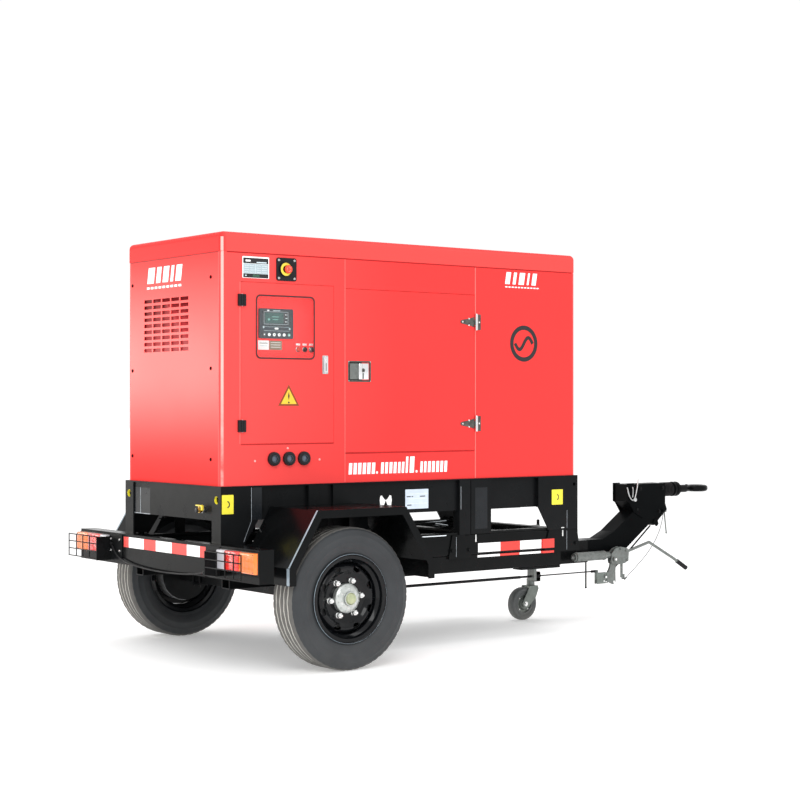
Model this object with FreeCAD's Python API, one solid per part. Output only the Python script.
import FreeCAD, Part
import os, math
from FreeCAD import Vector as V

# Towable silent diesel generator on a single-axle trailer.
# Millimetres.  +Z up, +X towards the tow eye, y = 0 the centre plane.
# The model is laid out with u = 0 at the rear face of the canopy and the
# ground at z = 0, and every shape is moved by -X_MID in X at export, so
# that the origin is the centre of the footprint on the ground.

# ---------------- driving dimensions ----------------
CANOPY_L, CANOPY_W = 2400.0, 976.0
CANOPY_Z0, SEAM_Z, ROOF_Z = 914.0, 2093.0, 2194.0
SKIN = 3.0                      # sheet thickness of the canopy
CORNER_R = 28.0                 # rounded vertical corners and roof edges
GAP = 2.0                       # shut line round the doors
DOOR_X0, DOOR_X1, DOOR_Z0, DOOR_Z1 = 755.0, 1640.0, 1070.0, 1936.0
CD_X0, CD_X1, CD_Z0, CD_Z1 = 112.0, 684.0, 1124.0, 1945.0
DOOR_DEPTH = 35.0
SKID_Z0 = 604.0
AXLE_X, TYRE_R, TYRE_W, TRACK_HALF = 500.0, 357.0, 205.0, 815.0
EYE_X, EYE_Z, EYE_IN_R, EYE_BAR = 3937.0, 776.0, 34.0, 42.0
GUARD_X = -148.0                # rearmost wires of the lamp guards
JOCKEY_X, JOCKEY_Y, JOCKEY_R = 2600.0, 130.0, 100.0
EYE_OUT_R = EYE_IN_R + EYE_BAR
X_MID = (GUARD_X + EYE_X + EYE_OUT_R) / 2.0
HY = CANOPY_W / 2.0

os.makedirs("parts", exist_ok=True)


def box(x0, x1, y0, y1, z0, z1):
    x0, x1 = min(x0, x1), max(x0, x1)
    y0, y1 = min(y0, y1), max(y0, y1)
    z0, z1 = min(z0, z1), max(z0, z1)
    return Part.makeBox(x1 - x0, y1 - y0, z1 - z0, V(x0, y0, z0))


def rbox(x0, x1, y0, y1, z0, z1, r, axes="z"):
    b = box(x0, x1, y0, y1, z0, z1)
    es = []
    for e in b.Edges:
        d = e.Vertexes[1].Point - e.Vertexes[0].Point
        k = "x" if abs(d.x) > 1e-6 else ("y" if abs(d.y) > 1e-6 else "z")
        if k in axes:
            es.append(e)
    return b.makeFillet(r, es)


def cyl(p, d, r, h):
    return Part.makeCylinder(r, h, V(*p), V(*d))


def ring(p, d, ro, ri, h):
    q = V(*p) - V(*d).normalize() * 1.0
    return cyl(p, d, ro, h).cut(Part.makeCylinder(ri, h + 2.0, q, V(*d)))


def rod(a, b, r):
    a, b = V(*a), V(*b)
    return Part.makeCylinder(r, (b - a).Length, a, b - a)


def face(pts):
    w = Part.makePolygon(pts + [pts[0]])
    return Part.Face(w)


def prism_xz(pts, y0, y1):
    y0, y1 = min(y0, y1), max(y0, y1)
    return face([V(x, y0, z) for x, z in pts]).extrude(V(0, y1 - y0, 0))


def prism_xy(pts, z0, z1):
    return face([V(x, y, z0) for x, y in pts]).extrude(V(0, 0, z1 - z0))


def prism_yz(pts, x0, x1):
    return face([V(x0, y, z) for y, z in pts]).extrude(V(x1 - x0, 0, 0))


def mir(s):
    return s.mirror(V(0, 0, 0), V(0, 1, 0))


def both(lst):
    return list(lst) + [mir(s) for s in lst]


def spin(profile, origin):
    # profile in (radius, axial) about a line parallel to Y through origin
    pts = [V(origin[0] + r, origin[1] + a, origin[2]) for r, a in profile]
    return face(pts).revolve(V(*origin), V(0, 1, 0), 360)


def spin_x(profile, origin):
    # profile in (axial, radius) about a line parallel to X through origin
    pts = [V(origin[0] + a, origin[1], origin[2] + r) for a, r in profile]
    return face(pts).revolve(V(*origin), V(1, 0, 0), 360)


def hexa(p, d, af, h):
    c = af / math.sqrt(3)
    pts = [V(c * math.cos(math.radians(60 * i)), c * math.sin(math.radians(60 * i)), 0) for i in range(6)]
    s = face(pts).extrude(V(0, 0, h))
    s.Placement = FreeCAD.Placement(V(*p), FreeCAD.Rotation(V(0, 0, 1), V(*d)))
    return s


NODES = {}


def node(name, *shapes):
    sol = []
    for s in shapes:
        for t in (s if isinstance(s, (list, tuple)) else [s]):
            sol.extend(t.Solids)
    vol = 0.0
    out = []
    for s in sol:
        if not s.isValid() or s.Volume <= 0:
            print("INVALID", name, s.isValid(), s.Volume)
        vol += s.Volume
        t = s.copy()
        t.translate(V(-X_MID, 0, 0))
        out.append(t)
    c = out[0] if len(out) == 1 else Part.makeCompound(out)
    c.exportStep("parts/%s.step" % name)
    NODES[name] = c
    b = c.BoundBox
    print("%-22s solids %3d vol %12.0f  x %8.1f %8.1f y %7.1f %7.1f z %7.1f %7.1f" % (
        name, len(out), vol, b.XMin, b.XMax, b.YMin, b.YMax, b.ZMin, b.ZMax))


# ---------------- canopy ----------------
def ringwall(inset0, inset1, z0, z1):
    o = rbox(inset0, CANOPY_L - inset0, -HY + inset0, HY - inset0, z0, z1, CORNER_R - inset0)
    i = rbox(inset1, CANOPY_L - inset1, -HY + inset1, HY - inset1, z0 - 1, z1 + 1, CORNER_R - inset1)
    return o.cut(i)


wall = ringwall(0, SKIN, CANOPY_Z0, SEAM_Z)
# roof: pressed lid with rounded edges, 2 mm proud of the walls
lid = box(-2, CANOPY_L + 2, -HY - 2, HY + 2, SEAM_Z + 1, ROOF_Z)
lid = lid.makeFillet(CORNER_R, [e for e in lid.Edges if abs(e.Vertexes[0].Point.z - SEAM_Z - 1) > 1e-6 or abs(e.Vertexes[1].Point.z - SEAM_Z - 1) > 1e-6])
lid_in = box(1, CANOPY_L - 1, -HY + 1, HY - 1, SEAM_Z - 5, ROOF_Z - SKIN)
lid_in = lid_in.makeFillet(CORNER_R - 3, [e for e in lid_in.Edges if e.Vertexes[0].Point.z > SEAM_Z or e.Vertexes[1].Point.z > SEAM_Z])
roof = lid.cut(lid_in)
node("roof_cover", roof)

S = wall.common(box(-5, 754, -HY - 5, -455, CANOPY_Z0, SEAM_Z))
glands_x = (308.0, 400.0, 492.0)
GLAND_Z = 1047.0
sp = [S.common(box(-5, CD_X0, -HY - 5, 0, CANOPY_Z0, SEAM_Z)),
      S.common(box(CD_X1, 754, -HY - 5, 0, CANOPY_Z0, SEAM_Z)),
      S.common(box(CD_X0, CD_X1, -HY - 5, 0, CD_Z1, SEAM_Z)),
      S.common(box(CD_X0, CD_X1, -HY - 5, 0, CANOPY_Z0, CD_Z0))]
for gx in glands_x:
    sp[3] = sp[3].cut(cyl((gx, -HY - 10, GLAND_Z), (0, 1, 0), 20.5, 30))
M = wall.common(box(756, 1639, -HY - 5, -455, CANOPY_Z0, SEAM_Z))
mid = [M.common(box(750, 1650, -600, 0, DOOR_Z1, SEAM_Z)), M.common(box(750, 1650, -600, 0, CANOPY_Z0, DOOR_Z0))]
F = wall.common(box(1641, CANOPY_L + 5, -HY - 5, -455, CANOPY_Z0, SEAM_Z))


def jamb(x0, x1, z0, z1):
    # return flanges behind the skin round a door opening, with a stop behind the door
    ys, yr, ye = -HY + SKIN, -HY + 41, -HY + 44
    r = [box(x0 - 4, x0 - 1, ys, ye, z0 - 4, z1 + 4), box(x1 + 1, x1 + 4, ys, ye, z0 - 4, z1 + 4),
         box(x0 - 1, x1 + 1, ys, ye, z0 - 4, z0 - 1), box(x0 - 1, x1 + 1, ys, ye, z1 + 1, z1 + 4),
         box(x0 - 1, x0 + 22, yr, ye, z0 - 1, z1 + 1), box(x1 - 22, x1 + 1, yr, ye, z0 - 1, z1 + 1),
         box(x0 + 22, x1 - 22, yr, ye, z0 - 1, z0 + 22), box(x0 + 22, x1 - 22, yr, ye, z1 - 22, z1 + 1)]
    return r


RP = wall.common(box(-5, 754, -HY - 5, -455, CANOPY_Z0, SEAM_Z))
left_rear = mir(RP)
node("side_panels", sp, mid, F, jamb(DOOR_X0, DOOR_X1, DOOR_Z0, DOOR_Z1), jamb(CD_X0, CD_X1, CD_Z0, CD_Z1),
     left_rear, [mir(s) for s in mid], mir(F), [mir(s) for s in jamb(DOOR_X0, DOOR_X1, DOOR_Z0, DOOR_Z1)])

# rear wall with the louvre slots, and the red baffle behind them
rear = box(0, SKIN, -455, 455, CANOPY_Z0, SEAM_Z)
GY0, GY1, GZ0, GZ1 = -161.0, 306.0, 1603.0, 1883.0
NC, NR = 5, 9
pitch_y, pitch_z = (GY1 - GY0 + 13.0) / NC, (GZ1 - GZ0 + 14.0) / NR
cuts = []
for i in range(NC):
    for j in range(NR):
        y = GY0 + i * pitch_y
        z = GZ0 + j * pitch_z
        cuts.append(box(-5, 10, y, y + pitch_y - 13.0, z, z + pitch_z - 14.0))
rear = rear.cut(Part.makeCompound(cuts))
baffle = [box(60, 62, -260, 400, 1500, 1980), box(3, 60, -260, -258, 1500, 1980), box(3, 60, 398, 400, 1500, 1980)]
node("rear_panel", rear, baffle)

front = box(CANOPY_L - SKIN, CANOPY_L, -455, 455, CANOPY_Z0, SEAM_Z)
cuts = []
for i in range(6):
    for j in range(18):
        y = -345 + i * 117.0
        z = 1130 + j * 42.0
        cuts.append(box(CANOPY_L - 10, CANOPY_L + 5, y, y + 104, z, z + 22))
front = front.cut(Part.makeCompound(cuts))
node("front_panel", front)


# ---------------- doors ----------------
def door_pan(x0, x1, z0, z1, hole=None):
    o = box(x0, x1, -HY, -HY + DOOR_DEPTH, z0, z1)
    i = box(x0 + SKIN, x1 - SKIN, -HY + SKIN, -HY + DOOR_DEPTH + 5, z0 + SKIN, z1 - SKIN)
    d = o.cut(i)
    if hole is not None:
        d = d.cut(hole)
    return d


LX0, LX1, LZ0, LZ1 = 774.0, 924.0, 1444.0, 1556.0      # paddle latch bezel
latch_hole = box(LX0 + 7, LX1 - 7, -HY - 5, -HY + 10, LZ0 + 5, LZ1 - 5)
rd = door_pan(DOOR_X0 + GAP, DOOR_X1 - GAP, DOOR_Z0 + GAP, DOOR_Z1 - GAP, latch_hole)
node("right_door", rd)
node("left_door", mir(rd))
HX, HYP = 1646.0, -HY - 9.0                              # door hinge pins
HINGES = ((1783.5, 87.0), (1219.0, 84.0))


def strap(zc, h):
    z0, z1 = zc - h / 2, zc + h / 2
    t = h / 3
    leaf = prism_xz([(1542, zc - 9), (1542, zc + 9), (1610, z1), (1635, z1), (1635, z0), (1610, z0)], -HY - 3, -HY)
    kn = ring((HX, HYP, z0 + t + 0.5), (0, 0, 1), 8.0, 4.2, t - 1)
    web = box(1634, HX, HYP + 3, -HY, z0 + t + 0.5, z0 + 2 * t - 0.5).cut(cyl((HX, HYP, z0), (0, 0, 1), 7.9, h))
    mv = leaf.fuse(web).fuse(kn).removeSplitter()
    fx = [box(1657, 1682, -HY - 3, -HY, z0, z1)]
    pin = cyl((HX, HYP, z0), (0, 0, 1), 4.0, h)
    for a in (z0, z0 + 2 * t):
        k = cyl((HX, HYP, a), (0, 0, 1), 8.0, t)
        w = box(HX, 1658, HYP + 3, -HY, a, a + t)
        pin = pin.fuse(k).fuse(w)
    fx = pin.fuse(fx[0]).removeSplitter()
    return mv, fx


mvs, fxs = zip(*[strap(z, h) for z, h in HINGES])
node("right_hinge_leaves", list(mvs))
node("left_hinge_leaves", [mir(s) for s in mvs])

# control door: hinges on its rear edge, window, small lock
CHX, CHY = 116.0, -HY - 9.0
WX0, WX1, WZ0, WZ1 = 205.0, 560.0, 1560.0, 1880.0
win_hole = rbox(WX0, WX1, -HY - 5, -HY + 10, WZ0, WZ1, 25.0, "y")
cd = door_pan(CD_X0 + GAP, CD_X1 - GAP, CD_Z0 + GAP, CD_Z1 - GAP, win_hole)
cd_h, cf_h = [], []
for zc in (1851.0, 1216.0):
    z0, z1, t = zc - 30, zc + 30, 20.0
    kn = ring((CHX, CHY, z0 + t + 0.5), (0, 0, 1), 6.0, 3.2, t - 1)
    blk = box(124, 138, -HY - 12, -HY, z0, z1)
    web = box(CHX, 125, CHY - 1.5, -HY, z0 + t + 0.5, z0 + 2 * t - 0.5).cut(cyl((CHX, CHY, z0), (0, 0, 1), 5.9, 60))
    cd_h.append(blk.fuse(web).fuse(kn).removeSplitter())
    f = box(94, 108, -HY - 12, -HY, z0, z1).fuse(cyl((CHX, CHY, z0), (0, 0, 1), 3.0, 60))
    for a in (z0, z0 + 2 * t):
        f = f.fuse(cyl((CHX, CHY, a), (0, 0, 1), 6.0, t)).fuse(box(107, CHX, CHY - 1.5, -HY, a, a + t))
    # keep the fixed block clear of the door edge
    f = f.cut(box(113.5, 140, -HY - 2.9, -HY + 1, z0 - 1, z1 + 1))
    cf_h.append(f.removeSplitter())
lock_plate = rbox(609, 645, -HY - 4, -HY, 1484, 1580, 5, "y")
node("control_door", cd, cd_h, lock_plate)
node("fixed_hinge_leaves", list(fxs), [mir(s) for s in fxs], cf_h)
pane = rbox(WX0 + 1, WX1 - 1, -HY - 1, -HY + 4, WZ0 + 1, WZ1 - 1, 24.0, "y")
node("control_door_window", pane)
node("control_lock", rbox(615, 639, -HY - 12, -HY - 5, 1492, 1572, 3, "y"))

# paddle latches
bez = rbox(LX0, LX1, -HY - 3, -HY, LZ0, LZ1, 6, "y").cut(box(LX0 + 10, LX1 - 10, -HY - 6, -HY + 2, LZ0 + 8, LZ1 - 8))
pan = box(LX0 + 8, LX1 - 8, -HY, -HY + 28, LZ0 + 6, LZ1 - 6).cut(box(LX0 + 10, LX1 - 10, -HY - 1, -HY + 26, LZ0 + 8, LZ1 - 8))
lh = bez.fuse(pan).removeSplitter()
PZ = LZ1 - 15.0
lp = rbox(LX0 + 14, LX1 - 14, -HY - 6, -HY + 2, LZ0 + 14, PZ + 1, 4, "y")
node("right_latch_housing", lh)
node("left_latch_housing", mir(lh))
node("right_latch_paddle", lp)
node("left_latch_paddle", mir(lp))

# ---------------- control box behind the window ----------------
PY = -411.0
MODX0, MODX1, MODZ0, MODZ1 = 265.0, 473.0, 1664.0, 1818.0
plate = box(150, 655, PY, PY + 3, 1490, 1925)
cbody = [box(160, 645, PY + 3, -190, 1500, 1915)]
module = rbox(MODX0, MODX1, PY - 12, PY, MODZ0, MODZ1, 8, "y")
btn_x = [MODX0 + 28 + i * 30.4 for i in range(6)]
BTN_Z = MODZ0 + 20
for bx in btn_x:
    module = module.cut(cyl((bx, PY - 13, BTN_Z), (0, 1, 0), 8.4, 7))
KEY = (592.0, PY, 1612.0)
plate = plate.cut(cyl((KEY[0], PY - 1, KEY[2]), (0, 1, 0), 11.2, 5))
cbody.append(box(300, 500, -300, -250, 914, 1500))
cbody[0] = cbody[0].cut(cyl((KEY[0], PY + 2, KEY[2]), (0, 1, 0), 11.2, 20))
node("control_box", plate, cbody)
node("controller_module", module)
for i, bx in enumerate(btn_x):
    node("button_%d" % (i + 1), cyl((bx, PY - 15.5, BTN_Z), (0, 1, 0), 8.0, 7.0))
key = cyl((KEY[0], PY - 6, KEY[2]), (0, 1, 0), 11.0, 20).fuse(box(KEY[0] - 2, KEY[0] + 2, PY - 24, PY - 5, KEY[2] - 11, KEY[2] + 11))
node("key_switch", key.removeSplitter())

# emergency stop on the side wall
EX, EZ = 385.0, 2017.0
ep = rbox(EX - 61, EX + 61, -HY - 6, -HY, EZ - 59, EZ + 59, 12, "y")
eb = ep.fuse(cyl((EX, -HY - 12, EZ), (0, 1, 0), 37.0, 8)).cut(cyl((EX, -HY - 13, EZ), (0, 1, 0), 10.5, 14)).removeSplitter()
node("estop_base", eb)
ek = cyl((EX, -HY - 28, EZ), (0, 1, 0), 20.0, 9).fuse(cyl((EX, -HY - 20, EZ), (0, 1, 0), 10.0, 15)).removeSplitter()
node("estop_knob", ek)

gl = []
for gx in glands_x:
    g = cyl((gx, -HY - 15, GLAND_Z), (0, 1, 0), 35.0, 15)
    g = g.fuse(cyl((gx, -HY - 1, GLAND_Z), (0, 1, 0), 20.4, 12)).cut(cyl((gx, -HY - 20, GLAND_Z), (0, 1, 0), 16.0, 40))
    gl.append(g.removeSplitter())
node("cable_glands", gl)

# ---------------- skid base ----------------
sk = [box(-10, CANOPY_L + 10, -HY - 10, HY + 10, 908, CANOPY_Z0)]
WALL_Z0 = 740.0
sk += both([box(4, CANOPY_L - 4, -476, -470, WALL_Z0, 908)])
end_walls = [box(-2, 4, -484, 484, WALL_Z0, 908), box(CANOPY_L - 4, CANOPY_L + 2, -484, 484, WALL_Z0, 908)]
for s in (-1, 1):
    end_walls = [w.cut(cyl((-50, s * (HY - 32), 845), (1, 0, 0), 20.0, CANOPY_L + 100)) for w in end_walls]
sk += end_walls
rear_leg = prism_xz([(-10, 604), (118, 604), (139, 635), (210, 738), (210, 908), (-10, 908)], -HY - 10, -HY - 2)
front_leg = prism_xz([(2105, 908), (2105, 738), (2176, 620), (2176, 604), (2410, 604), (2410, 908)], -HY - 10, -HY - 2)
front_leg = front_leg.cut(cyl((2383, -600, 862), (0, 1, 0), 10, 200))
rear_end = box(-10, -2, -HY - 2, -HY + 78, 604, 908).cut(cyl((-20, -HY + 32, 845), (1, 0, 0), 20.0, 30))
front_end = box(CANOPY_L + 2, CANOPY_L + 10, -HY - 2, -HY + 78, 604, 908).cut(cyl((CANOPY_L - 10, -HY + 32, 845), (1, 0, 0), 20.0, 30))
front_ret = box(2105, 2113, -HY - 2, -HY + 70, 738, 908)
feet = [box(-2, 120, -HY - 2, -HY + 78, 604, 616), box(2176, CANOPY_L + 2, -HY - 2, -HY + 78, 604, 616)]
# return flange of the front leg stops at the side wall
front_ret = front_ret.cut(box(2000, 2200, -476, -400, 730, 910))


def post(x0, x1, y0, z0=604.0):
    return [box(x0, x1, y0, y0 + 6, z0, 908), box(x0, x0 + 6, y0 + 6, -476, WALL_Z0, 908), box(x1 - 6, x1, y0 + 6, -476, WALL_Z0, 908),
            box(x0, x0 + 6, y0 + 6, -440, z0, WALL_Z0), box(x1 - 6, x1, y0 + 6, -440, z0, WALL_Z0)]


posts = post(520, 640, -496) + post(678, 787, -490) + post(1525, 1603, -496) + post(1613, 1758, -490)
base_bar = [box(120, 520, -486, -434, 604, 616), box(787, 1525, -486, -434, 604, 616), box(1758, 2176, -486, -434, 604, 616)]
sk += both([rear_leg, front_leg, rear_end, front_end, front_ret] + feet + posts + base_bar)
for x in (640, 1240, 1640, 2196):
    sk.append(box(x, x + 60, -434, 434, 604, 616))
sk.append(box(700, 1990, -470, 470, 738, 741))
node("skid_frame", sk)
node("fuel_tank", rbox(760, 1940, -420, 420, 741, 893, 20, "z"), cyl((1890, -380, 893), (0, 0, 1), 30, 12))

# ---------------- power unit inside the canopy ----------------
ENG_X0, ENG_X1 = 1330.0, 1950.0
block = box(ENG_X0, ENG_X1, -150, 150, 1110, 1450)
for i in range(4):
    block = block.cut(cyl((ENG_X0 + 95 + i * 143, 0, 1112), (0, 0, 1), 50, 336))
block = block.cut(box(ENG_X0 + 25, ENG_X1 - 25, -125, 125, 1105, 1200))
sump = rbox(ENG_X0 + 20, ENG_X1 - 20, -130, 130, 1000, 1110, 20, "z").cut(box(ENG_X0 + 28, ENG_X1 - 28, -122, 122, 1008, 1120))
head = box(ENG_X0 + 10, ENG_X1 - 10, -130, 130, 1450, 1540)
rocker = rbox(ENG_X0 + 40, ENG_X1 - 40, -85, 85, 1540, 1620, 18, "z")
fly = cyl((ENG_X0 - 90, 0, 1230), (1, 0, 0), 225, 90).cut(cyl((ENG_X0 - 91, 0, 1230), (1, 0, 0), 190, 80))
timing = box(ENG_X1, ENG_X1 + 30, -140, 140, 1060, 1450)
pump = cyl((ENG_X1 + 30, 0, 1400), (1, 0, 0), 45, 22)
crank_nose = cyl((ENG_X1 + 30, 0, 1150), (1, 0, 0), 22, 18)
manifold = [box(ENG_X0 + 60, ENG_X1 - 60, 130, 190, 1465, 1525), box(ENG_X0 + 60, ENG_X1 - 60, -185, -130, 1465, 1525)]
feetE = []
for x in (ENG_X0 + 60, ENG_X1 - 140):
    for s in (-1, 1):
        feetE.append(box(x, x + 80, s * 150, s * 230, 1150, 1165))
        feetE.append(cyl((x + 40, s * 200, 914), (0, 0, 1), 35, 236))
node("engine", block, sump, head, rocker, fly, timing, pump, crank_nose, manifold, feetE)
alt = cyl((700, 0, 1230), (1, 0, 0), 205, 540).cut(cyl((720, 0, 1230), (1, 0, 0), 150, 530))
altbox = box(760, 1100, -120, 120, 1434, 1560).cut(cyl((700, 0, 1230), (1, 0, 0), 205.0, 540))
altfeet = both([box(760, 1160, -230, -150, 914, 1080).cut(cyl((700, 0, 1230), (1, 0, 0), 205.0, 540))])
node("alternator", alt, altbox, altfeet)
rad = [box(2200, 2260, -370, 370, 1080, 1780), box(2190, 2270, -380, 380, 1780, 1840), box(2190, 2270, -380, 380, 1010, 1080),
       box(2195, 2265, -380, -340, 914, 1010), box(2195, 2265, 340, 380, 914, 1010)]
node("radiator", rad)
hang = [box(x, x + 40, 255, 265, 2000, 2191).cut(cyl((1470, 260, 1935), (1, 0, 0), 110.0, 660)) for x in (1560, 1980)]
node("muffler", hang, cyl((1480, 260, 1935), (1, 0, 0), 110, 640), cyl((2120, 260, 1935), (1, 0, 0), 45, 120),
     rod((1560, 260, 1826), (1560, 175, 1525), 32).cut(box(1400, 1700, 100, 300, 1400, 1526)).cut(cyl((1470, 260, 1935), (1, 0, 0), 110.0, 660)))
node("air_filter", cyl((1380, -250, 1700), (1, 0, 0), 95, 330), rod((1545, -225, 1612), (1545, -158, 1526), 30).cut(box(1400, 1700, -300, -100, 1400, 1526)).cut(cyl((1370, -250, 1700), (1, 0, 0), 95, 350)))
node("battery", rbox(220, 560, 215, 390, 914, 1130, 8, "z"), cyl((265, 350, 1130), (0, 0, 1), 9, 18), cyl((515, 350, 1130), (0, 0, 1), 9, 18))

FAN_Z, CRK_Z = 1400.0, 1150.0
PX0, PX1 = 2004.0, 2030.0
fp = spin_x([(0, 0), (0, 70), (7, 70), (9, 62), (17, 62), (19, 70), (26, 70), (26, 0)], (PX0, 0, FAN_Z))
cp = spin_x([(0, 0), (0, 90), (7, 90), (9, 82), (17, 82), (19, 90), (26, 90), (26, 0)], (PX0, 0, CRK_Z))
fan = [fp.fuse(cyl((PX1, 0, FAN_Z), (1, 0, 0), 60, 70)).removeSplitter()]
for i in range(7):
    b = box(0, 46, -4, 4, 58, 270)
    b.rotate(V(23, 0, 0), V(0, 0, 1), 32)
    b = b.makeFillet(3.0, [e for e in b.Edges if abs(abs(e.Vertexes[0].Point.z - e.Vertexes[1].Point.z) - 212) < 1e-3])
    b.rotate(V(0, 0, 0), V(1, 0, 0), i * 360.0 / 7)
    b.translate(V(PX1 + 15, 0, FAN_Z))
    fan.append(b)
f0 = fan[0]
for b in fan[1:]:
    f0 = f0.fuse(b)
node("cooling_fan", f0.removeSplitter())
node("crank_pulley", cp)


def belt_outline(r1, r2):
    d = FAN_Z - CRK_Z
    a = math.asin((r1 - r2) / d)
    c, s = math.cos(a), math.sin(a)
    p1, p2 = V(PX0 + 9.5, r1 * c, CRK_Z + r1 * s), V(PX0 + 9.5, r2 * c, FAN_Z + r2 * s)
    p3, p4 = V(PX0 + 9.5, -r2 * c, FAN_Z + r2 * s), V(PX0 + 9.5, -r1 * c, CRK_Z + r1 * s)
    w = Part.Wire([Part.LineSegment(p1, p2).toShape(), Part.Arc(p2, V(PX0 + 9.5, 0, FAN_Z + r2), p3).toShape(),
                   Part.LineSegment(p3, p4).toShape(), Part.Arc(p4, V(PX0 + 9.5, 0, CRK_Z - r1), p1).toShape()])
    return Part.Face(w).extrude(V(7, 0, 0))


node("fan_belt", belt_outline(92, 72).cut(belt_outline(82.6, 62.6)))

# ---------------- trailer chassis ----------------
def htube(x0, x1, y0, y1, z0, z1, t, axis):
    o = box(x0, x1, y0, y1, z0, z1)
    if axis == "x":
        return o.cut(box(x0 - 1, x1 + 1, y0 + t, y1 - t, z0 + t, z1 - t))
    return o.cut(box(x0 + t, x1 - t, y0 - 1, y1 + 1, z0 + t, z1 - t))


RY0, RY1 = -488.0, -408.0
up = rbox(-8, 2420, RY0, RY1, 490, 604, 6, "x").cut(box(-9, 2421, RY0 + 6, RY1 - 6, 496, 598))
lo = rbox(50, 2290, RY0 + 5, RY1, 396, 490, 5, "x").cut(box(49, 2291, RY0 + 11, RY1 - 6, 402, 484))
ch = [up, lo]
up_gus = [prism_xz([(1449, 473), (1613, 473), (1562, 604), (1475, 604)], RY0 - 8, RY0),
          prism_xz([(2150, 477), (2428, 477), (2409, 604), (2190, 604)], RY0 - 8, RY0),
          prism_xz([(1180, 473), (1300, 473), (1270, 604), (1210, 604)], RY0 - 8, RY0)]
ch += up_gus
step = box(1990, 2285, RY0 + 5, RY1, 382, 396)
ch.append(step)
# spring hangers
SPR_Y = -535.0
HXS = (150.0, 850.0)
for hx in HXS:
    ch.append(prism_xz([(hx - 45, 560), (hx + 45, 560), (hx + 22, 440), (hx - 22, 440)], RY0 - 14, RY0).cut(cyl((hx, -700, 466), (0, 1, 0), 10.5, 400)))
    ch.append(prism_xz([(hx - 22, 520), (hx + 22, 520), (hx + 22, 440), (hx - 22, 440)], -577, -568).cut(cyl((hx, -700, 466), (0, 1, 0), 10.5, 400)))
    ch.append(box(hx - 22, hx + 22, -568, RY0 - 14, 508, 520))
ch = both(ch)
# rear crossbeam that carries the lamps
BX = -58.0
ch.append(box(BX, -52, -930, 930, 463, 628))
ch.append(box(-52, -12, -930, 930, 622, 628))
ch.append(box(-52, -12, -930, 930, 463, 469))
ch += both([box(-12, 25, -930, -505, 622, 628), box(-12, 25, -930, -505, 463, 469), box(19, 25, -930, -505, 469, 622), box(-52, 19, -930, -924, 469, 622)])
ch += both([box(-12, 50, RY0 + 5, RY1, 463, 490)])
for x in (180, 760, 1400, 2000):
    ch.append(htube(x, x + 70, RY1, -RY1, 500, 590, 5, "y"))
# front cross member and the central drawbar beam under it
ch.append(htube(2350, 2420, RY1, -RY1, 500, 590, 5, "y"))
BZ0, BZ1 = 346.0, 485.0
ch.append(rbox(1960, 2904, -60, 60, BZ0, BZ1, 6, "x").cut(box(1959, 2905, -53, 53, BZ0 + 7, BZ1 - 7)))
ch += [box(2000, 2070, -60, 60, BZ1, 500), box(2350, 2420, -60, 60, BZ1, 500)]
ch += [prism_xy([(2420, -230), (2420, -310), (2660, -60), (2590, -60)], 440, 485), box(2400, 2420, -310, -230, 485, 500)]
ch += [prism_xy([(2420, 150), (2490, 60), (2590, 60), (2420, 230)], 440, 485), box(2400, 2420, 150, 230, 485, 500)]
# clamp of the jockey wheel on the left face of the beam
clampj = box(2576, 2624, 60, JOCKEY_Y, 350, 430).fuse(cyl((JOCKEY_X, JOCKEY_Y, 350), (0, 0, 1), 32, 80)).cut(cyl((JOCKEY_X, JOCKEY_Y, 340), (0, 0, 1), 20.6, 120))
ch.append(clampj.removeSplitter())
ch.append(rbox(2650, 2682, 104, 132, 310, 350, 5, "z"))
ch.append(box(2640, 2760, 60, 112, 350, 380))
# brake rod support below the beam
ch.append(box(2380, 2400, -150, -60, 350, 400))
ch.append(box(2380, 2400, -150, -90, 270, 350).cut(cyl((2370, -120, 295), (1, 0, 0), 8, 40)))
node("chassis_frame", ch)

# gooseneck drawbar with its head and the tube that guides the tow eye
neck = prism_xz([(2904, 365), (3163, 365), (3231, 413), (3456, 572), (3312, 654), (3130, 528), (3034, 485), (2904, 485)], -60, 60)
headp = prism_xz([(3251, 820), (3588, 820), (3588, 690), (3604, 650), (3484, 552), (3456, 572), (3312, 654), (3251, 712)], -60, 60)
cheek = prism_xz([(3242, 826), (3300, 826), (3300, 735), (3345, 700), (3420, 640), (3380, 600), (3300, 645), (3262, 700), (3242, 712)], -67, -60)
lug = prism_xz([(3470, 566), (3505, 545), (3520, 560), (3510, 590), (3484, 590)], -67, -60)
# eye for the breakaway cable on the side of the head
eyeb = box(3548, 3566, -66, -60, 630, 656).fuse(cyl((3556, -74, 636), (7, 1, 36), 6, 14)).fuse(box(3552, 3562, -74, -60, 642, 648)).removeSplitter()
houz = cyl((3588, 0, EYE_Z), (1, 0, 0), 42, 167).fuse(cyl((3700, 0, EYE_Z), (1, 0, 0), 46, 50)).cut(cyl((3600, 0, EYE_Z), (1, 0, 0), 25.06, 200))
node("drawbar", neck, headp, both([cheek]), lug, eyeb, houz.removeSplitter())
eye = spin_x([(0, 0), (0, 25), (165, 25), (175, 25), (185, 22), (205, 20), (235, 20), (235, 0)], (3658, 0, EYE_Z))
c = 8.0
ro, ri, hh = EYE_OUT_R, EYE_IN_R, EYE_BAR / 2
prof = [(ri, -c), (ri, c), (ri + 5, c + 8), (ri + 14, hh), (ro - 14, hh), (ro - 4, c + 7), (ro, c), (ro, -c), (ro - 4, -c - 7), (ro - 14, -hh), (ri + 14, -hh), (ri + 5, -c - 8)]
eyering = face([V(EYE_X + r, 0, EYE_Z + a) for r, a in prof]).revolve(V(EYE_X, 0, EYE_Z), V(0, 0, 1), 360)
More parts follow.
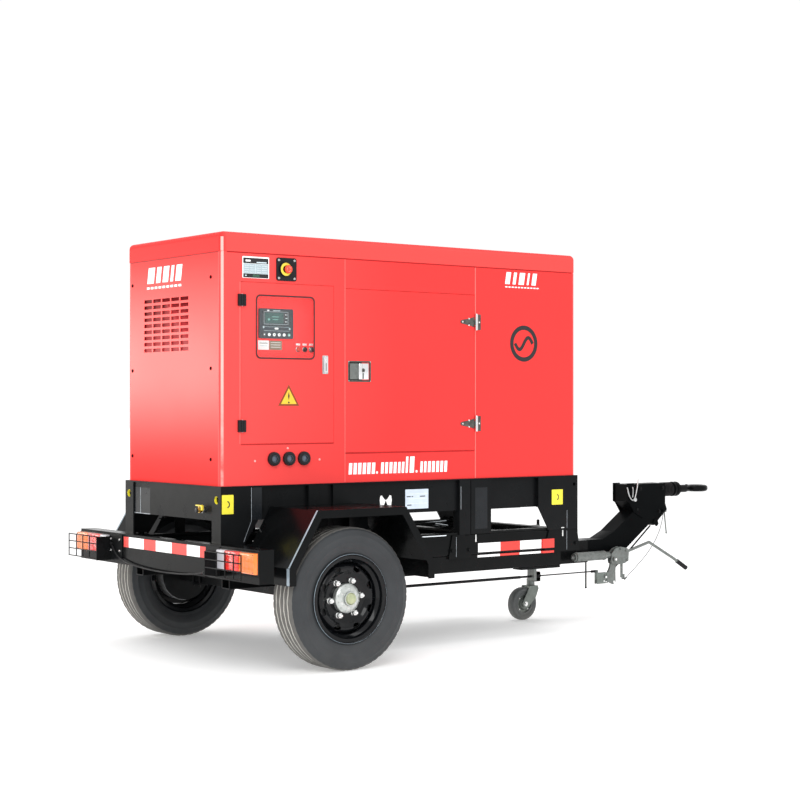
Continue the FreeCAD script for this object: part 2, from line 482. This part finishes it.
eye = eye.fuse(eyering).cut(cyl((EYE_X, 0, EYE_Z - 50), (0, 0, 1), ri, 100)).removeSplitter()
node("tow_eye", eye)

# ---------------- brake gear ----------------
BY = -120.0
PVX, PVZ = 3060.0, 362.0
g1 = prism_xz([(3034, 396), (3070, 428), (3110, 438), (3172, 426), (3184, 400), (3180, 350), (3150, 334), (3095, 328), (3040, 336), (3034, 350)], -138, -132)
g1 = g1.cut(cyl((PVX, -150, PVZ), (0, 1, 0), 12.3, 60))
g2 = prism_xz([(3034, 396), (3070, 428), (3110, 438), (3172, 426), (3184, 400), (3180, 350), (3150, 334), (3095, 328), (3040, 336), (3034, 350)], -108, -102)
g2 = g2.cut(cyl((PVX, -150, PVZ), (0, 1, 0), 12.3, 60))
bk = box(3064, 3088, -132, -108, 408, 422)
stay = box(3090, 3150, -102, -60, 380, 412)
scyl = cyl((2741, BY, 390), (1, 0, 0), 28, 248).fuse(cyl((2989, BY, 390), (1, 0, 0), 20, 36)).removeSplitter()
scap = cyl((2729, BY, 390), (1, 0, 0), 24, 12)
sbr = box(2914, 2980, -106, -60, 374, 406).cut(cyl((2700, BY, 390), (1, 0, 0), 28, 400))
# clip on the inner plate that holds the lower end of the breakaway cable
clip = box(3150, 3166, -102, -94, 240, 334).fuse(box(3160, 3182, -102, -96, 229, 262)).fuse(cyl((3194, -105, 240), (-42, -2, -29), 5, 22)).removeSplitter()
node("brake_bracket", g1, g2, bk, stay, scyl, scap, sbr, clip)
# hand lever: hub, crank below, bent arm above
hub = cyl((PVX, -142, PVZ), (0, 1, 0), 12.0, 44)
crank = prism_xz([(3046, 374), (3074, 374), (3086, 350), (3080, 318), (3078, 285), (3080, 222), (3058, 206), (2978, 240), (2972, 258), (2984, 270), (3016, 284), (3032, 312), (3040, 345)], -127, -113)
lev = rod((3070, BY, 368), (3200, BY, 408), 9.0)
lev = lev.fuse(rod((3200, BY, 408), (3379, BY, 453), 9.0)).fuse(Part.makeSphere(9.0, V(3200, BY, 408))).fuse(Part.makeSphere(9.0, V(3379, BY, 453)))
lev = lev.fuse(rod((3379, BY, 453), (3597, BY, 340), 9.0)).fuse(Part.makeSphere(9.0, V(3597, BY, 340))).fuse(rod((3597, BY, 340), (3716, BY, 270), 9.0))
grip = rod((3630, BY, 320.6), (3712, BY, 272.4), 13.0)
hl = hub.fuse(crank).fuse(lev).fuse(grip).removeSplitter()
pin = cyl((2988, -134, 256), (0, 1, 0), 6.0, 28)
hl = hl.fuse(pin).removeSplitter()
node("handbrake_lever", hl)
# brake rod with a slotted fork at the front
fork = box(2915, 3008, -131, -128.5, 216, 284).fuse(box(2915, 3008, -111.5, -109, 216, 284)).fuse(box(2915, 2926, -131, -109, 240, 302))
slot = rbox(2974, 3002, -140, -100, 222, 272, 5, "y")
fork = fork.cut(slot)
brod = rod((620, BY, 295), (2460, BY, 295), 6.5).fuse(rod((2460, BY, 295), (2916, BY, 295), 4.0)).fuse(fork)
brod = brod.fuse(box(600, 622, -150, -90, 285, 305)).removeSplitter()
node("brake_rod", brod)
PR0, PR1 = (3480.0, -30.0, 548.0), (3150.0, -30.0, 286.0)
node("push_rod", rod(PR0, PR1, 5.0))

# ---------------- fenders ----------------
FP = [(114.0, 444.0), (114.0, 530.0), (281.0, 806.0), (824.0, 806.0), (1007.0, 520.0), (1007.0, 432.0)]


def offset_line(pts, d):
    out = []
    n = len(pts)
    for i in range(n):
        ns = []
        for a, b in ((i - 1, i), (i, i + 1)):
            if a < 0 or b >= n:
                continue
            dx_, dz_ = pts[b][0] - pts[a][0], pts[b][1] - pts[a][1]
            l = math.hypot(dx_, dz_)
            ns.append((dz_ / l, -dx_ / l))
        if len(ns) == 1:
            m = ns[0]
            k = d
        else:
            m = (ns[0][0] + ns[1][0], ns[0][1] + ns[1][1])
            l = math.hypot(*m)
            m = (m[0] / l, m[1] / l)
            k = d / (m[0] * ns[0][0] + m[1] * ns[0][1])
        out.append((pts[i][0] + m[0] * k, pts[i][1] + m[1] * k))
    return out


Q = offset_line(FP, 3.0)
R = offset_line(FP, 40.0)
fe = []
for i in range(5):
    fe.append(prism_xz([FP[i], FP[i + 1], Q[i + 1], Q[i]], -927, -502))
    fe.append(prism_xz([FP[i], FP[i + 1], R[i + 1], R[i]], -930, -927))
fe += [box(300, 360, -502, -488, 520, 806), box(740, 800, -502, -488, 520, 806)]
fe[-2] = fe[-2].common(box(300, 360, -502, -488, 520, 600))
fe[-1] = fe[-1].common(box(740, 800, -502, -488, 520, 600))
fe += [box(300, 360, -502, -496, 600, 803), box(740, 800, -502, -496, 600, 803)]
node("fenders", both(fe))

# ---------------- axle, springs, wheels ----------------
AZ = TYRE_R
ax = [htube(AXLE_X - 35, AXLE_X + 35, -722, 722, AZ - 35, AZ + 35, 8, "y")]
for s in (-1, 1):
    ax.append(cyl((AXLE_X, s * 722, AZ), (0, s, 0), 30, 130))
    ax.append(ring((AXLE_X, s * 722, AZ), (0, s, 0), 148, 30.0, 8))
ax.append(box(AXLE_X + 35, AXLE_X + 60, -150, -90, AZ - 33, AZ + 20))
node("axle_beam", ax)

ls = []
for k, half in enumerate((350.0, 270.0, 190.0, 110.0)):
    n = 14
    top, bot = [], []
    for i in range(n + 1):
        t = -1 + 2.0 * i / n
        x = t * half
        z = 50.0 * (x / 350.0) ** 2 + 416 - 8.0 * k
        bot.append((AXLE_X + x, z))
        top.append((AXLE_X + x, z + 7.9))
    ls.append(prism_xz(bot + top[::-1], SPR_Y - 30, SPR_Y + 30))
main = ls[0]
for hx in HXS:
    main = main.fuse(cyl((hx, SPR_Y - 30, 466 + 4), (0, 1, 0), 20, 60))
    main = main.cut(cyl((hx, SPR_Y - 31, 466 + 4), (0, 1, 0), 10.4, 62))
ls[0] = main.removeSplitter()
for hx in HXS:
    ls.append(cyl((hx, -577, 466), (0, 1, 0), 10.0, 89))
ls += [box(455, 545, SPR_Y - 40, SPR_Y + 40, 424, 433), box(455, 545, SPR_Y - 40, SPR_Y + 40, 312, 321.9)]
for dx_ in (-42.5, 42.5):
    for dy_ in (-35.5, 35.5):
        ls.append(cyl((AXLE_X + dx_, SPR_Y + dy_, 300), (0, 0, 1), 5.4, 12))
        ls.append(cyl((AXLE_X + dx_, SPR_Y + dy_, 322), (0, 0, 1), 5.4, 102))
        ls.append(cyl((AXLE_X + dx_, SPR_Y + dy_, 433), (0, 0, 1), 5.4, 14))
node("leaf_springs", both(ls))

tp = [(204, -75), (224, -76), (242, -88), (270, -99), (300, -102.5), (325, -99), (343, -90), (352, -82), (356, -74), (357, -60),
      (357, -44), (349, -43), (349, -35), (357, -34), (357, -6), (349, -5), (349, 5), (357, 6), (357, 34), (349, 35), (349, 43), (357, 44),
      (357, 60), (356, 74), (352, 82), (343, 90), (325, 99), (300, 102.5), (270, 99), (242, 88), (224, 76), (204, 75),
      (204, 58), (232, 64), (262, 84), (300, 90), (328, 84), (341, 66), (341, -66), (328, -84), (300, -90), (262, -84), (232, -64), (204, -58)]


def wheel(side):
    o = (AXLE_X, side * TRACK_HALF, AZ)
    tyre = spin(tp, o)
    s = side
    rimp = [(223, 84), (223, 77.5), (203.4, 75.5), (203.4, 58), (186, 46), (186, -46), (203.4, -58), (203.4, -75.5), (223, -77.5), (223, -84),
            (217, -84), (215, -80), (198, -80), (198, -60), (180, -47), (180, 47), (198, 60), (198, 80), (215, 80), (217, 84)]
    barrel = spin([(r, a * s) for r, a in rimp], o)
    dp = [(48, 33), (120, 33), (138, 47), (152, 52), (167, 45), (179.9, 30), (179.9, 18), (163, 36), (152, 42), (141, 38), (123, 23), (48, 23)]
    disc = spin([(r, a * s) for r, a in dp], o)
    holes = []
    for i in range(8):
        a = math.radians(22.5 + 45 * i)
        c_ = cyl((o[0] + 152 * math.cos(a), o[1] - 100, o[2] + 152 * math.sin(a)), (0, 1, 0), 17, 200)
        holes.append(c_)
    disc = disc.cut(Part.makeCompound(holes))
    hubp = [(31, -84), (31, 60), (0, 60), (0, 96), (24, 96), (34, 90), (38, 80), (38, 70), (56, 66), (62, 56), (62, 33), (47.9, 33), (47.9, 23), (110, 23), (110, 12), (62, 12), (62, -60), (50, -84)]
    hubs = spin([(r, a * s) for r, a in hubp], o)
    drum = spin([(r, a * s) for r, a in [(62.1, 11.9), (150, 11.9), (150, -80), (140, -80), (140, 2), (62.1, 2)]], o)
    nuts = []
    for i in range(6):
        a = math.radians(30 + 60 * i)
        p = (o[0] + 93 * math.cos(a), o[1] + s * 33, o[2] + 93 * math.sin(a))
        nuts.append(hexa(p, (0, s, 0), 27, 18).fuse(cyl(p, (0, s, 0), 8, 30)).removeSplitter())
    return tyre, [barrel, disc, hubs, drum] + nuts


for side, nm in ((-1, "right"), (1, "left")):
    t, r = wheel(side)
    node("tyre_" + nm, t)
    node("rim_" + nm, r)

# ---------------- lamps ----------------
lens = rbox(BX - 30, BX, -930, -575, 508, 616, 6, "x")
node("tail_lamps", both([lens]))
gw = 3.0
GX = GUARD_X + gw
gd = [box(BX - 5, BX, -574, -440, 478, 622), box(GX - 3, BX - 5, -574, -569, 478, 606)]
y1, y2, za, zb = -574.0, -905.0, 487.0, 606.0
for z in (za, 527.0, 567.0, zb):
    gd.append(cyl((GX, y2 + gw, z), (0, 1, 0), gw, y1 - y2 - gw))
gd.append(cyl((GX, y2, za - gw), (0, 0, 1), gw, zb - za + 2 * gw))
for yy in (-827.0, -749.0, -671.0):
    gd.append(cyl((GX + 2 * gw, yy, za - gw), (0, 0, 1), gw, zb - za + 2 * gw))
outer = gd[6]
for i in (2, 3, 4, 5):
    gd[i] = gd[i].cut(outer)
gdall = both(gd)
# glands on the two bracket plates where the lamp lead starts and ends
for a, d in (((-69, 541, 560), (0, 22, 27)), ((-71, -438, 486), (1, -66, 11.5))):
    gdall.append(cyl(a, d, 9.5, 15).cut(box(BX - 5, BX + 20, -600, 600, 440, 640)))
node("lamp_guards", gdall)

# ---------------- jockey wheel ----------------
tubej = cyl((JOCKEY_X, JOCKEY_Y, 215), (0, 0, 1), 20, 350).fuse(cyl((JOCKEY_X, JOCKEY_Y, 209), (0, 0, 1), 25, 40))
tubej = tubej.fuse(rod((JOCKEY_X, JOCKEY_Y, 560), (JOCKEY_X, JOCKEY_Y, 578), 8)).fuse(box(JOCKEY_X - 8, JOCKEY_X + 70, JOCKEY_Y - 8, JOCKEY_Y + 8, 570, 580)).removeSplitter()
node("jockey_tube", tubej)
WXJ = JOCKEY_X - 70.0
cheeks = []
for s in (-1, 1):
    y = JOCKEY_Y + s * 34
    cheeks.append(prism_xz([(JOCKEY_X + 28, 208), (JOCKEY_X + 34, 190), (JOCKEY_X + 14, 140), (WXJ + 24, 80), (WXJ - 16, 80), (WXJ - 28, 104), (JOCKEY_X - 46, 190), (JOCKEY_X - 40, 208)], y - 3, y + 3))
yoke = rbox(JOCKEY_X - 34, JOCKEY_X + 28, JOCKEY_Y - 37, JOCKEY_Y + 37, 201, 208, 3, "z")
fkj = yoke.fuse(cheeks[0]).fuse(cheeks[1]).fuse(cyl((WXJ, JOCKEY_Y - 42, JOCKEY_R), (0, 1, 0), 8, 84))
fkj = fkj.removeSplitter()
node("jockey_fork", fkj)
jw = spin([(8.1, -27), (8.1, 27), (30, 27), (34, 20), (70, 16), (76, 24), (88, 27), (97, 22), (JOCKEY_R, 12), (JOCKEY_R, -12), (97, -22), (88, -27), (76, -24), (70, -16), (34, -20), (30, -27)], (WXJ, JOCKEY_Y, JOCKEY_R))
node("jockey_wheel", jw)


# ---------------- flexible leads ----------------
def cord(route, dia, name, first=None):
    P = [V(*p) for p in route]
    n = len(P)
    edges = []
    start = P[0]
    radii = []
    total = 0.0
    for i in range(1, n - 1):
        a, b, c_ = P[i - 1], P[i], P[i + 1]
        u1, u2 = (b - a).normalize(), (c_ - b).normalize()
        la, lb = (P[i] - P[i - 1]).Length, (P[i + 1] - P[i]).Length
        ang = math.acos(max(-1, min(1, u1.dot(u2))))
        t = 0.45 * min(la, lb)
        r = t / math.tan(ang / 2)
        radii.append(round(r, 1))
        q1, q2 = b - u1 * t, b + u2 * t
        bis = (u2 - u1).normalize()
        cen_d = r / math.cos(ang / 2)
        mid_ = b + bis * (cen_d - r)
        edges.append(Part.LineSegment(start, q1).toShape())
        edges.append(Part.Arc(q1, mid_, q2).toShape())
        total += (q1 - start).Length + r * ang
        start = q2
    edges.append(Part.LineSegment(start, P[-1]).toShape())
    total += (P[-1] - start).Length
    w = Part.Wire(edges)
    circ = Part.Wire([Part.Circle(P[0], (P[1] - P[0]).normalize(), dia / 2.0).toShape()])
    s = w.makePipeShell([circ], True, False)
    print(name, "radii", min(radii), radii, "runs", [round((P[i + 1] - P[i]).Length) for i in range(n - 1)], "length %.1f" % total,
          "vol/expected %.4f" % (s.Volume / (math.pi * dia * dia / 4 * total)))
    return s


HARNESS = [(-69, 541, 560), (-69, 519, 533), (-70, 483, 509), (-72, 430, 491), (-73, 362, 478), (-74, 282, 469), (-75, 192, 463),
           (-75, 96, 459), (-75, -4, 457.5), (-75, -104, 458.5), (-74, -200, 461.5), (-73, -290, 466.5), (-72, -372, 474.5), (-71, -438, 486)]
node("lamp_harness", cord(HARNESS, 9.0, "lamp_harness"))
CABLE = [(3556, -74, 636), (3549, -75, 600), (3535, -77, 560), (3514, -80, 518), (3487, -83, 477), (3454, -86, 438), (3416, -90, 401),
         (3374, -94, 366), (3329, -98, 333), (3282, -101, 301), (3236, -103, 269), (3194, -105, 240)]
node("breakaway_cable", cord(CABLE, 4.0, "breakaway_cable"))
